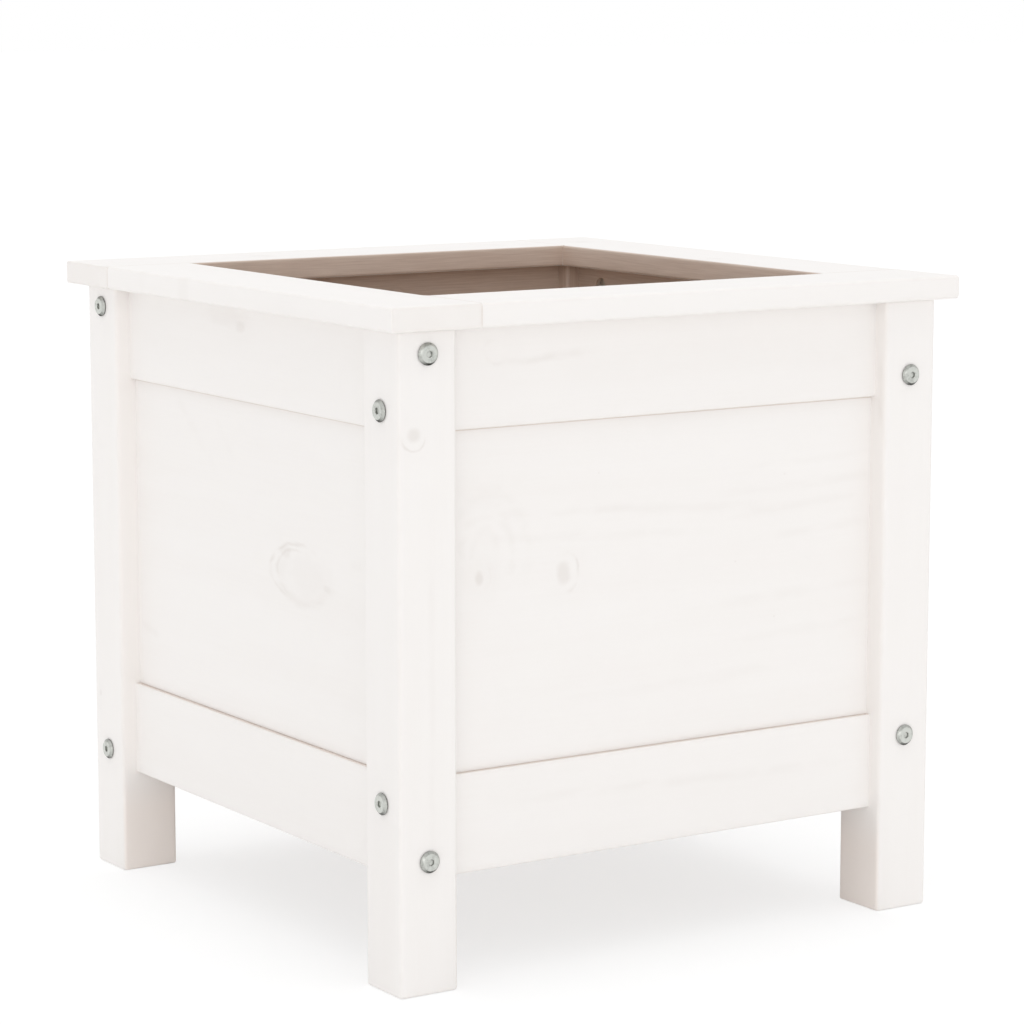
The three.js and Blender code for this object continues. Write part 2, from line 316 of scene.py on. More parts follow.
def boardPoints(board):
    # the section carried along the grain: each end closes over a quarter circle of the easing radius
    length, width, thickness = board["size"]
    steps, easing = board["steps"], board["easing"]
    near = [knot["across"] for knot in board["knots"]]
    outline, normals = sectionLoop(width, thickness, board["radius"], steps, board["spacing"], near,
                                   board.get("groove"))
    rounding = np.radians(np.linspace(90, 0, steps + 1))
    places, insets = [], []
    for end, size in zip((-1, 1), easing):
        turn = rounding if size else rounding[-1:]
        places.append(end * (length / 2 - size + size * np.sin(turn)))
        insets.append(size * (1 - np.cos(turn)))
    near = [knot["along"] for knot in board["knots"]]
    sideways = normals[:, 0]
    if "squareFrom" in board:  # the edge at +across meets the next board there and stays sharp
        near = near + [board["squareFrom"]]
        sideways = np.where(sideways > 0, seamEdge["kept"], 1.0) * sideways
    middle = gridLine(places[0][-1], places[1][-1], 1.5 * board["spacing"], near)[1:-1]
    place = np.concatenate([places[0], middle, places[1][::-1]])
    inset = np.concatenate([insets[0], np.zeros(len(middle)), insets[1][::-1]])
    along = np.repeat(place[:, None], len(outline), 1)
    across = outline[None, :, 0] - inset[:, None] * sideways[None, :]
    depth = outline[None, :, 1] - inset[:, None] * normals[None, :, 1]
    if "squareFrom" in board:
        beyond = np.clip((along - board["squareFrom"]) / seamEdge["change"] + 0.5, 0, 1)
        keep = 1 - (1 - seamEdge["kept"]) * beyond
        fromSide, fromFace = width / 2 - across, thickness / 2 - abs(depth)
        inCorner = (np.maximum(fromSide, fromFace) < board["radius"] + 1e-6) & (across > 0)
        across = np.where(inCorner, width / 2 - keep * fromSide, across)
        depth = np.where(inCorner, np.sign(depth) * (thickness / 2 - keep * fromFace), depth)
    hollow = surfaceHollow(board, along, across, depth)
    across = across - hollow * normals[None, :, 0]
    depth = depth - hollow * normals[None, :, 1]
    return np.stack([along.ravel(), across.ravel(), depth.ravel()], 1), closedGrid(*along.shape)


def roundBar(start, stop, radius, columns=32):  # a closed bar; its flats touch the true circle
    start, stop = np.asarray(start, float), np.asarray(stop, float)
    axis = (stop - start) / np.linalg.norm(stop - start)
    side = np.cross(axis, (0, 0, 1) if abs(axis[2]) < 0.9 else (1, 0, 0))
    side /= np.linalg.norm(side)
    up = np.cross(axis, side)
    angle = np.linspace(0, 2 * math.pi, columns, endpoint=False)[:, None]
    ring = radius / math.cos(math.pi / columns) * (np.cos(angle) * side + np.sin(angle) * up)
    return np.concatenate([start + ring, stop + ring]), closedGrid(2, columns)


def boxShell(low, size):  # a closed box from its lowest corner
    share = np.array([(x, y, z) for z in (0, 1) for x, y in ((0, 0), (1, 0), (1, 1), (0, 1))])
    return np.array(low) + np.array(size) * share, closedGrid(2, 4)


def joinShells(shells):  # several closed shells as one list of points and faces
    points, faces, first = [], [], 0
    for shellPoints, shellFaces in shells:
        if signedVolume(shellPoints, shellFaces) < 0:
            shellFaces = [face[::-1] for face in shellFaces]
        points.append(shellPoints)
        faces += [[corner + first for corner in face] for face in shellFaces]
        first += len(shellPoints)
    return np.concatenate(points), faces


def carve(piece, cutters):  # takes each cutter's volume out of the piece, and leaves a plain mesh
    tools = [pieceFrom("cutter", meshFrom("cutter", *cutter)) for cutter in cutters]
    for tool in tools:
        cut = piece.modifiers.new("cut", "BOOLEAN")
        cut.operation, cut.solver, cut.object = "DIFFERENCE", "EXACT", tool
    whole = piece.data
    depsgraph = bpy.context.evaluated_depsgraph_get()
    piece.data = bpy.data.meshes.new_from_object(piece.evaluated_get(depsgraph))
    piece.data.name = whole.name
    piece.modifiers.clear()
    bpy.data.meshes.remove(whole)
    for tool in tools:
        bpy.data.objects.remove(tool)


def smooth(piece, angle=32):
    piece.data.shade_smooth()
    piece.data.set_sharp_from_angle(angle=math.radians(angle))


def settle(piece, slot, material, *nodes):  # onto the planter's body, in place of its CAD nodes
    piece.data.materials.clear()
    piece.data.materials.append(material)
    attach(piece, "root")
    if nodes:
        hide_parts(*nodes)


# Painted pine

pineForm = {
    "paint": (0.935, 0.908, 0.887, 1),  # white paint, where it covers well
    "paintedWarmShade": (0.95, 0.88, 0.83, 1),  # painted warm shade on the legs' inner sides, strongest on the feet, for light bounced warm under and inside the box
    "thinPaint": (0.66, 0.555, 0.465, 1),  # paint that the wood shows through
    "knotPaint": (0.50, 0.425, 0.365, 1),  # paint over a knot that has bled
    "coatAndShadeEarly": (0.70, 0.575, 0.49, 1),  # painted warm shade inside the box, and a single thin coat on joints, on the soft part of a ring
    "coatAndShadeLate": (0.50, 0.375, 0.30, 1),  # and on the hard part
    "bareEarly": (0.60, 0.41, 0.27, 1),  # unpainted wood, in the same way
    "bareLate": (0.37, 0.21, 0.125, 1),
    "wander": 26.0,  # mm that the rings stray
    "ringTurn": 0.9,  # share of a ring at which its dark line starts to end
    "latewoodShow": 0.10, "fibreShow": 0.055, "broadShow": 0.07, "edgeShow": 0.06, "endShow": 0.16,
    "seamShow": 0.45,
    "gapHide": 0.7,  # how much less shows in the clean gap inside a knot's bark
    "patches": (0.35, 1.3),  # the least that latewood shows, and how much more in patches
    "wear": (0.3, 2.6, 3.0),  # mm from an edge over which the paint is worn, and their stray
    "endGrain": (0.1, 0.5, 0.4),  # mm from an end where it shows, and how much of it isn't latewood
    "seam": (0.1, 0.6),  # mm from an end over which the seam's line fades
    "warmShadeStart": (1.6, 0.2),  # mm from a leg's edge over which the painted warm shade starts
    "warmShadeShow": (0.15, 0.7),  # how much it shows on the legs, and how much more on the feet
    "footFade": 30.0,  # mm under the rails over which the feet begin
    "coatAndShadeGrain": (2.2, 1.5, 0.8),  # how much latewood, fibres and patches show in the painted inside shade and the thin coat
    "bareGrain": (1.4, 0.5),  # and latewood and fibres on unpainted wood
    "roughness": 0.38,
    "rougher": (0.18, 0.06, 0.15),  # what fibres, wear and end grain add to it
    "ior": 1.47,
    "peel": 0.55,  # scale of the brush marks
    "relief": (0.05, 0.05, 0.035, -0.12),  # mm of latewood, fibres, brush marks and cracks in bark
    "bump": 0.9,
}
woodNoises = {  # how fast each changes along the grain and through the board, its shift and its noise
    "wobble": (0.6, 0.2, 0, (0.16, 2.0)),
    "broad": (0.1, 1.0, 0, (0.045, 1.5)),
    "patchy": (0.35, 0.2, 1, (0.11, 2.0)),
    "wander": (0.12, 1.0, 1, (0.022, 2.0)),
    "fibres": (0.03, 1.0, 2, (1.0, 3.0, 0.62)),
}
knotForm = {  # places are shares of a knot's half size, counted from its middle
    "core": (0.4, 1.15),  # where its heart starts to fade and is gone, as shares of the heart's size
    "halo": (0.8, 3.0),
    "bark": 0.97,  # the ring of bark
    "middle": 0.2,  # within this a knot has no clear sides
    "openSoft": 0.5,  # how softly the bark's crack ends
    "patches": (0.3, 0.6),
    "gap": (1.6, 1.3),  # the clean gap's distance from the bark and its width, in the bark's widths
    "bend": (0.2, 3.2), "bendRings": 3.0,
    "streakEnd": 0.4, "streakPatches": (0.25, 0.65), "streakStray": (1.5, 7.0),
}
coatAndShadeForm = {  # millimetres over which the painted inside shade, the thin coat and the bare wood start
    "leg": 0.4, "face": (0.9, 0.3), "seam": 0.3, "ledge": (0.4, 0.1), "ledgeFront": (0.6, 0.9),
    "behind": 0.3, "strip": 0.15, "groove": (0.05, 0.25), "grooveFloor": (0.5, 0.2),
    "bore": (-0.1, 0.15), "boreFloor": (0.6, 0.3),
    "half": 0.5,  # how much of the thin coat shows on ledges and strips
}


def knotMarks(board, along, across, wobble, patchy):
    # what the knots, which run right through the board, do in all: how far they bend the rings,
    # how dark the paint is, how deep the bark's crack is, and where the clean gap inside it lies
    form = knotForm
    bend, stain, crack, gap = 0.0, 0.0, 0.0, 0.0
    for knot in board["knots"]:
        u, v = (along - knot["along"]) / knot["length"], (across - knot["across"]) / knot["width"]
        lean, core, line, soft = math.radians(knot["lean"]), knot["core"], knot["line"], form["openSoft"]
        cosine, sine = math.cos(lean), math.sin(lean)
        stray = wobble * knot["wobble"]
        distance = hypotenuse(u, v)
        reach = distance + stray
        if knot["heart"]:
            coreReach = hypotenuse(u + (1 - core) * cosine, v + (1 - core) * sine) + stray
            low, high = form["core"]
            stain = stain + coreReach.fade(low * core, high * core) * knot["heart"]
        if knot["halo"]:
            stain = stain + reach.fade(*form["halo"]) * knot["halo"]
        if knot["bark"]:
            towards = (u * cosine + v * sine) / (distance + form["middle"])
            arc = towards.ramp(knot["open"] - soft, knot["open"] + soft) * patchy.ramp(*form["patches"])
            bark = abs(reach - form["bark"]).fade(0.0, line) * arc
            stain = stain + bark * knot["bark"]
            crack = crack + bark
            away, wide = form["gap"]
            gap = gap + abs(reach - form["bark"] + away * line).fade(0.0, wide * line) * arc
        bend = bend + reach.fade(*form["bend"]) * (board["ringWidth"] * form["bendRings"] * knot["bend"])
    return bend, stain, crack, gap


def streakMarks(board, along, across, stray, patchy):  # soft dark lines along the grain
    form = knotForm
    stain = 0.0
    for streak in board["streaks"]:
        run = along - streak["along"]
        off = abs(across - streak["across"] - run * streak["tilt"] + stray)
        ends = abs(run).fade(form["streakEnd"] * streak["reach"], streak["reach"])
        ends = ends * patchy.ramp(*form["streakPatches"])
        stain = stain + off.fade(0.0, streak["width"]) * ends * streak["tone"]
    return stain


def thinCoatAndInsideShade(board, along, across, depth):
    # 1 on the inside, where the darker colour is painted warm shade, and on the edges that meet another
    # board, which have only one thin coat
    form = coatAndShadeForm
    length, width, thickness = board["size"]
    if board["inside"] == "all":
        return 1.0
    if board["inside"] == "leg":
        inner, above, soft = board["insideFrom"], board["insideAbove"], form["leg"]
        return across.least(depth).ramp(inner, inner + soft) * along.ramp(above - soft, above)
    towards, face = (across, width / 2) if board["inside"] == "across" else (depth, thickness / 2)
    thin = towards.upTo(face, form["face"])
    if "squareFrom" in board:
        thin = thin * along.fade(board["squareFrom"] - form["seam"], board["squareFrom"])
    if "groove" in board:
        half, _, side, _ = board["groove"]
        low, high = form["ledgeFront"]
        front = depth.ramp(low - thickness / 2, high - thickness / 2)
        behind = depth.ramp(half, half + form["behind"])
        thin = thin + (across * side).upTo(width / 2, form["ledge"]) * (front + behind) * form["half"]
    if "hiddenFrom" in board:
        (low, high), soft = board["hiddenFrom"], form["strip"]
        strips = across.fade(low - soft, low + soft) + across.ramp(high - soft, high + soft)
        thin = thin + strips * form["half"]
    return thin


def bareWood(board, along, across, depth):  # 1 in grooves and bores, which never saw a brush
    form = coatAndShadeForm
    bare = 0.0
    if "groove" in board:
        half, deep, side, _ = board["groove"]
        low, high = form["groove"]
        floor = board["size"][1] / 2 - deep
        bare = abs(depth).fade(half + low, half + high) * (across * side).upTo(floor, form["grooveFloor"])
    for boreAlong, boreAcross, radius, floor in board.get("bores", []):
        low, high = form["bore"]
        inBore = hypotenuse(along - boreAlong, across - boreAcross).fade(radius + low, radius + high)
        bare = bare + inBore * depth.upTo(floor, form["boreFloor"])
    return bare


def paintedPine(board):
    form = pineForm
    material, finish = newFinish("paintedPine_" + board["node"])
    length, width, thickness = board["size"]
    draw = np.random.default_rng(board["seed"] + 500)
    shift = [float(number) for number in draw.uniform(-300, 300, 3)]
    local = finish.place([-float(number) for number in board["centre"]], -board["quarter"] * math.pi / 2)
    parts = finish.split(local)
    along, across, depth = [parts[axis] for axis in board["axes"]]
    noises = {}
    for name, (alongShare, throughShare, shiftNumber, settings) in woodNoises.items():
        place = finish.join(along * alongShare + shift[shiftNumber], across, depth * throughShare)
        noises[name] = finish.noise(place, *settings)
    wobble, patchy, fibres = noises["wobble"] - 0.5, noises["patchy"], noises["fibres"]
    fibre, patch = fibres - 0.5, noises["broad"] - 0.5
    bend, stain, crack, gap = knotMarks(board, along, across, wobble, patchy)
    stray = weigh(knotForm["streakStray"], wobble, patch)
    stain = stain + streakMarks(board, along, across, stray, patchy)

    # Growth rings are distances from the tree's heart line, which lies outside the board.
    pithAcross, pithDepth = board["pith"]
    heartDistance = hypotenuse(across + along * board["slope"] - pithAcross, depth - pithDepth)
    rings = (heartDistance + (noises["wander"] - 0.5) * form["wander"] + bend) / board["ringWidth"]
    ringShare = rings.calc("FRACT")
    latewood = ringShare * ringShare * ringShare * ringShare.fade(form["ringTurn"], 1.0)

    # The middle one of the three distances to the board's faces is the distance to its nearest edge.
    fromSide, fromFace = width / 2 - abs(across), thickness / 2 - abs(depth)
    fromEnd = length / 2 - abs(along)
    larger = fromSide.most(fromFace)
    butted = board["easing"] == (0.0, 0.0)  # both ends meet legs, and show no end grain or wear
    if not butted:
        larger = larger.least(fromEnd)
    worn, whole, wearStray = form["wear"]
    wear = (fromSide.least(fromFace).most(larger) + wobble * wearStray).fade(worn, whole)
    endGrain, endShow = 0.0, 0.0
    if not butted:
        near, far, plain = form["endGrain"]
        endGrain = fromEnd.fade(near, far)
        endShow = endGrain * (plain + latewood) * form["endShow"]

    least, more = form["patches"]
    show = latewood * (least + noises["broad"] * more) * form["latewoodShow"] + fibre * form["fibreShow"]
    show = show + patch * form["broadShow"] + wear * form["edgeShow"] + endShow
    if "squareFrom" in board:  # a thin line where this end meets the next rim board
        show = show + (along + length / 2).fade(*form["seam"]) * form["seamShow"]
    show = show * (1.0 - form["gapHide"] * gap)
    colour = finish.mix(show, form["paint"], form["thinPaint"])
    colour = finish.mix(stain, colour, form["knotPaint"])
    # painted warm shade on the legs' inner faces, more on the feet
    if board["inside"] == "leg":
        warmShaded = across.most(depth).upTo(width / 2, form["warmShadeStart"])
        foot = along.fade(board["insideAbove"] - form["footFade"], board["insideAbove"])
        least, more = form["warmShadeShow"]
        colour = finish.mix(warmShaded * (least + foot * more), colour, form["paintedWarmShade"])
    # painted warm shade on the faces inside the box, and a single thin coat on edges that meet another board
    grain = weigh(form["coatAndShadeGrain"], latewood, fibre, patch)
    coatAndShade = finish.mix(grain, form["coatAndShadeEarly"], form["coatAndShadeLate"])
    colour = finish.mix(thinCoatAndInsideShade(board, along, across, depth), colour, coatAndShade)
    wood = finish.mix(weigh(form["bareGrain"], latewood, fibre), form["bareEarly"], form["bareLate"])
    colour = finish.mix(bareWood(board, along, across, depth), colour, wood)
    finish.feed("Base Color", colour)
    finish.feed("Roughness", form["roughness"] + weigh(form["rougher"], fibre, wear, endGrain))
    finish.feed("IOR", form["ior"])
    relief = weigh(form["relief"], latewood, fibres, finish.noise(local, form["peel"]), crack)
    finish.feed("Normal", finish.bump(relief, form["bump"]))
    return material


def knotAt(along, across, length, width, heart=0.05, bark=0.12, halo=0.03, **more):
    # heart, bark and halo say how dark each is; lean is the way that the bark's crack faces, in
    # degrees from the grain, and open is how little of the ring it takes in (-2 is the whole ring)
    return {"along": along, "across": across, "length": length, "width": width, "heart": heart,
            "bark": bark, "halo": halo, "trench": 0.12, "wobble": 0.35, "core": 0.62, "line": 0.16,
            "lean": 0.0, "open": -2.0, "bend": 1.0, **more}


def streakAt(along, across, reach, width, tone, tilt=0.0):
    return {"along": along, "across": across, "reach": reach, "width": width, "tone": tone, "tilt": tilt}


# Knots and dark streaks, in millimetres as each side is seen from outside: along and across the
# grain, then their half sizes. Boards that aren't here get a few of their own.
knotPlaces = {
    "panel_front": [
        knotAt(-126.8, 233.1, 5.8, 8.4, 0.17, 0.05, 0.032, core=0.58, lean=20, open=0.1, line=0.25),
        knotAt(-124, 245, 18, 27, 0, 0.055, 0.012, trench=0, lean=80, open=-0.3, line=0.24),
        knotAt(-125, 245, 9, 15, 0, 0.035, 0, trench=0, lean=100, open=-0.2, line=0.36),
        knotAt(-122, 243, 27, 38, 0, 0.035, 0, trench=0, wobble=0.3, lean=75, open=0, line=0.18),
        knotAt(-69.2, 230.4, 8, 11.6, 0.16, 0.15, 0.016, core=0.68, lean=8, open=0, line=0.19),
        knotAt(-46.9, 286, 1.3, 1.3, 0.1, 0, 0, trench=0), knotAt(87.5, 275.2, 1.3, 1.3, 0.1, 0, 0, trench=0),
        knotAt(51.6, 225.5, 1.4, 1.4, 0.11, 0, 0, trench=0),
        knotAt(80.8, 189.7, 1.4, 1.4, 0.12, 0, 0, trench=0)],
    "panel_left": [
        knotAt(55, 222, 35, 17.5, 0, 0.18, 0.014, wobble=0.2, lean=152, open=0.1, line=0.10),
        knotAt(56, 221.5, 29.5, 14.6, 0, 0.14, 0, trench=0, wobble=0.25, lean=158, open=0.25, line=0.10),
        knotAt(43, 233, 14, 6.5, 0.10, 0, 0, trench=0, wobble=0.7),
        knotAt(64, 221, 33, 16, 0.045, 0, 0, trench=0, wobble=1, core=1),
        knotAt(60, 219, 30, 15, 0, 0.07, 0, trench=0, lean=-120, open=-0.1, line=0.3),
        knotAt(90, 217.5, 7, 4.5, 0.09, 0, 0, trench=0, wobble=0.6)],
    "top_rail_left": [
        knotAt(-22, 367, 34, 7, 0.07, 0, 0, trench=0, wobble=0.8, core=0.95),
        knotAt(-6, 361.5, 9, 5, 0.10, 0, 0.014, wobble=0.7, core=0.8)],
    "top_rail_front": [
        knotAt(-119, 360.5, 8, 7.5, 0, 0.075, 0.01, wobble=0.4, lean=215, open=0.1, line=0.28)],
    "leg_front_left": [knotAt(316, -180, 7.2, 7.8, 0.17, 0.17, 0.015, core=0.68, lean=184, open=0.1)],
    "leg_back_left": [knotAt(113.7, -182.1, 4.5, 2.6, 0.10, 0, 0.012)],
    "rim_board_left": [
        knotAt(-93.8, -196, 9, 6, 0.03, 0, 0, trench=0, core=1, wobble=0.8, bend=0.1),
        knotAt(-41.8, -198, 9, 6, 0.04, 0, 0, trench=0, core=1, wobble=0.8, bend=0.1),
        knotAt(-33.1, -146, 13, 5, 0.06, 0, 0, trench=0, core=0.9, wobble=0.6, bend=0.3)],
}
streakPlaces = {node: [streakAt(*numbers) for numbers in rows] for node, rows in {
    "panel_front": [
        (-82, 266.5, 70, 4.6, 0.045, -0.02), (10, 262, 90, 5, 0.05, -0.064),
        (-50, 250, 100, 4.6, 0.045, -0.05), (100, 268.8, 75, 4.6, 0.045, 0.028),
        (104, 281, 60, 4, 0.03, 0.03), (100, 257, 80, 4.4, 0.04, 0.05), (108, 240.8, 70, 4.6, 0.04, 0.07),
        (94, 203.8, 75, 5, 0.04, 0.044), (100, 181, 70, 5, 0.03, 0.06), (20, 158, 110, 6, 0.03, 0.03)],
    "panel_left": [
        (-72, 292, 34, 7, 0.034, -0.8), (-38, 296, 20, 7, 0.02, -1), (-136.9, 158.1, 14, 5, 0.055, -0.2),
        (121.3, 234.3, 10, 5, 0.035)],
    "top_rail_front": [(-74, 356.4, 28, 3.6, 0.11, 0.07), (-103, 354, 15, 3.4, 0.08, -0.03)],
    "bottom_rail_front": [(10, 98.8, 150, 5, 0.05, -0.03)],
    "rim_board_left": [(57.1, -147, 26, 4, 0.05), (-71.7, -165, 18, 4, 0.04)],
    "leg_front_left": [(168, -168.4, 130, 4, 0.045)],
    "leg_front_right": [(322, -185, 27, 4.5, 0.12, 0.03)],
    "bottom_rail_left": [], "rim_board_front": [],  # these two show no mark in the photograph
}.items()}
ownMarks = {  # what knots and rings of a board's own are drawn from
    "size": (3.0, 7.0), "alongShare": (-0.4, 0.4), "acrossShare": (-0.32, 0.32), "roundness": (0.8, 1.25),
    "slope": (-0.02, 0.02), "ringWidth": (2.6, 4.4), "pithAcross": (-0.3, 0.3), "pithDepth": (25, 70),
}


def ownKnots(draw, count, length, width):  # knots for a board that the photograph doesn't show
    knots = []
    for _ in range(count):
        size = draw.uniform(*ownMarks["size"])
        along = draw.uniform(*ownMarks["alongShare"]) * length
        across = draw.uniform(*ownMarks["acrossShare"]) * width
        knots.append(knotAt(along, across, size, size * draw.uniform(*ownMarks["roundness"]), 0.10, 0.13))
    return knots


def boardPlan(node, quarter, kind, centre, size, axes, **more):
    # everything that the shape and the paint of one board need; its grain runs along its first axis
    plan = {**kinds[kind], "node": node, "quarter": quarter, "centre": np.asarray(centre, float),
            "size": tuple(float(number) for number in size), "axes": axes, **more,
            "seed": sum(ord(letter) * (place + 3) for place, letter in enumerate(node))}
    draw = np.random.default_rng(plan["seed"])
    length, width, _ = plan["size"]
    plan["slope"] = float(draw.uniform(*ownMarks["slope"]))
    plan["ringWidth"] = float(draw.uniform(*ownMarks["ringWidth"]))
    plan["pith"] = (float(draw.uniform(*ownMarks["pithAcross"]) * width),
                    float(draw.choice([-1, 1]) * draw.uniform(*ownMarks["pithDepth"])))
    middle = {"along": plan["centre"][axes[0]], "across": plan["centre"][axes[1]]}
    for key, places in (("knots", knotPlaces), ("streaks", streakPlaces)):
        plan[key] = [{name: float(value - middle.get(name, 0)) for name, value in mark.items()}
                     for mark in places.get(node, [])]
    if node not in knotPlaces and node not in streakPlaces:
        plan["knots"] = ownKnots(draw, plan["ownKnots"], length, width)
    return plan


kindValues = ("radius", "easing", "steps", "spacing", "unevenness", "ownKnots", "inside")
kinds = {kind: dict(zip(kindValues, values)) for kind, values in {
    "leg": (2.5, (1.5, 1.5), 6, 4.0, 0.10, 2, "leg"),
    "rail": (1.0, (0.0, 0.0), 4, 4.0, 0.10, 2, "depth"),
    "panel": (0.6, (0.0, 0.0), 2, 5.0, 0.16, 3, "depth"),
    "rim": (1.8, (0.0, 1.08), 5, 4.0, 0.08, 2, "across"),
    "base": (0.6, (0.36, 0.36), 2, 6.0, 0.0, 2, "all"),
}.items()}  # inside says which way the faces inside the box look, which get painted warm shade
joints = {
    "clearance": 0.3, "groove": (5.8, 6.0, 0.3),  # half width, depth and lip of a panel groove
    "dowelRadius": 4.0, "dowelLength": 30.0, "dowelInLeg": 10.0, "dowelInRim": 9.0, "rimDowelInset": 50.0,
    "boltRadius": 3.0, "boltReach": 31.4, "boltRunOut": 4.0, "boltOffset": 16.0,
    "nutRadius": 5.0, "nutInset": 26.0, "nutRecess": 2.5, "overrun": 1.0,
    "drawnUp": 0.42,  # each end of a board is this much nearer to its neighbour than in the plain model
    "showBelow": 0.95, "showAbove": 0.2,  # thin coat on a panel that shows under and over the rails
}

legLow, legHigh = boxOf("leg_front_left")
panelLow, panelHigh = boxOf("panel_front")
railLow, railHigh = boxOf("bottom_rail_front")
rimLow, rimHigh = boxOf("rim_board_front")
legSide, legHeight = legHigh[0] - legLow[0], legHigh[2]
legCentre = (legLow[0] + legHigh[0]) / 2  # also the middle plane of the rails, negative
railLength = panelHigh[0] - panelLow[0]
railHeight, railThickness = railHigh[2] - railLow[2], railHigh[1] - railLow[1]
railCentres = {"top": legHeight - railHeight / 2, "bottom": (railLow[2] + railHigh[2]) / 2}
panelCentre = (panelLow[2] + panelHigh[2]) / 2
rimDowelPlace = rimHigh[0] - (rimHigh[1] - rimLow[1]) - joints["rimDowelInset"]
nutFloor = joints["nutRecess"] - joints["clearance"] - railThickness / 2  # of its bore, from the middle plane
sides = {"front": ("front_left", 0), "right": ("front_right", 1), "back": ("back_right", 2),
         "left": ("back_left", 3)}


def boreHeights(railName):  # heights of the bolts at a rail's left and right ends, seen from outside
    way = joints["boltOffset"] * (1 if railName == "top" else -1)
    return railCentres[railName] - way, railCentres[railName] + way


def boreCutter(start, stop, radiusName):
    return roundBar(start, stop, joints[radiusName] + joints["clearance"])


def legCutters():
    # bolt holes right through, and blind dowel holes from the faces that meet the rails, in the
    # front left leg's place: the rail on its right bolts in along X, the other one along Y
    outside, inside = -legSide / 2 - joints["overrun"], legSide / 2 + joints["overrun"]
    floor = legSide / 2 - joints["dowelInLeg"] - joints["clearance"]
    bars = []
    for railName in railCentres:
        inner, outer = boreHeights(railName)
        for across, boltHeight, dowelHeight in ((False, inner, outer), (True, outer, inner)):
            for radiusName, start, height in (("boltRadius", outside, boltHeight),
                                              ("dowelRadius", floor, dowelHeight)):
                ends = [(place + legCentre, legCentre, height) for place in (start, inside)]
                if across:
                    ends = [(legCentre, place + legCentre, height) for place in (start, inside)]
                bars.append(boreCutter(*ends, radiusName))
    return [joinShells(bars)]


def railCutters(railName):
    # a bolt bore into each end, then a cross bore for each barrel nut from the inner face
    bolts, nuts = [], []
    start, stop = legCentre + nutFloor, legCentre + railThickness / 2 + joints["overrun"]
    for end, height in zip((-1, 1), boreHeights(railName)):
        face, nut = end * railLength / 2, end * (railLength / 2 - joints["nutInset"])
        floor = face - end * (joints["boltReach"] + joints["boltRunOut"])
        over = face + end * joints["overrun"]
        bolts.append(boreCutter((floor, legCentre, height), (over, legCentre, height), "boltRadius"))
        nuts.append(boreCutter((nut, start, height), (nut, stop, height), "nutRadius"))
    return [joinShells(bolts), joinShells(nuts)]


def rimCutters():  # blind holes for the two dowels that stand up from the top rail
    low = rimLow[2] - joints["overrun"]
    high = rimLow[2] + joints["dowelInRim"] + joints["clearance"]
    return [joinShells([boreCutter((x, legCentre, low), (x, legCentre, high), "dowelRadius")
                        for x in (-rimDowelPlace, rimDowelPlace)])]


def makeBoard(plan, cutters=()):
    points, faces = boardPoints(plan)
    local = np.zeros_like(points)
    for column, axis in enumerate(plan["axes"]):
        local[:, axis] = points[:, column] + plan["centre"][axis]
    node, quarter = plan["node"], plan["quarter"]
    piece = pieceFrom(node + "_wood", meshFrom(node + "_wood", turnQuarter(local, quarter), faces))
    if cutters:
        carve(piece, [(turnQuarter(bar[0], quarter), bar[1]) for bar in cutters])
    smooth(piece)
    settle(piece, "painted_wood", paintedPine(plan), node)


boardLength = railLength + 2 * joints["drawnUp"]
drawn = np.array((joints["drawnUp"], 0, 0))
rimSize, rimCentre = rimHigh - rimLow + drawn, (rimLow + rimHigh - drawn) / 2
grooveHalf, grooveDepth, grooveLip = joints["groove"]
shown = (float(railHigh[2] - panelCentre + joints["showAbove"]),
         float(legHeight - railHeight - panelCentre - joints["showBelow"]))
for side, (legName, quarter) in sides.items():
    makeBoard(boardPlan("leg_" + legName, quarter, "leg", (legCentre, legCentre, legHeight / 2),
                        (legHeight, legSide, legSide), (2, 0, 1),
                        insideFrom=float(panelHigh[1] - panelLow[1]) / 2,
                        insideAbove=railLow[2] - legHeight / 2), legCutters())
    for railName, height in railCentres.items():
        nutPlaces = (-railLength / 2 + joints["nutInset"], railLength / 2 - joints["nutInset"])
        bores = [(x, z - height, joints["nutRadius"] + joints["clearance"], nutFloor)
                 for x, z in zip(nutPlaces, boreHeights(railName))]
        grooveSide = -1 if railName == "top" else 1
        makeBoard(boardPlan(railName + "_rail_" + side, quarter, "rail", (0, legCentre, height),
                            (boardLength, railHeight, railThickness), (0, 2, 1), bores=bores,
                            groove=(grooveHalf, grooveDepth, grooveSide, grooveLip)),
                  railCutters(railName))
    makeBoard(boardPlan("panel_" + side, quarter, "panel", (0, legCentre, panelCentre),
                        (boardLength, panelHigh[2] - panelLow[2], panelHigh[1] - panelLow[1]), (0, 2, 1),
                        hiddenFrom=shown))
    makeBoard(boardPlan("rim_board_" + side, quarter, "rim", rimCentre, rimSize, (0, 1, 2),
                        squareFrom=float(rimSize[0] / 2 - rimSize[1])), rimCutters())
    print(side, "side made")

for node in sorted(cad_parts):
    if node.startswith(("cleat", "base_slat")):
        low, high = boxOf(node)
        axes = (0, 2, 1) if node.startswith("cleat") else (1, 0, 2)
        plan = boardPlan(node, 0, "base", (low + high) / 2, (high - low)[list(axes)], axes)
        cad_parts[node].data.materials[0] = paintedPine(plan)
print("base painted")


# Zinc plated steel for the bolts, barrel nuts and screws

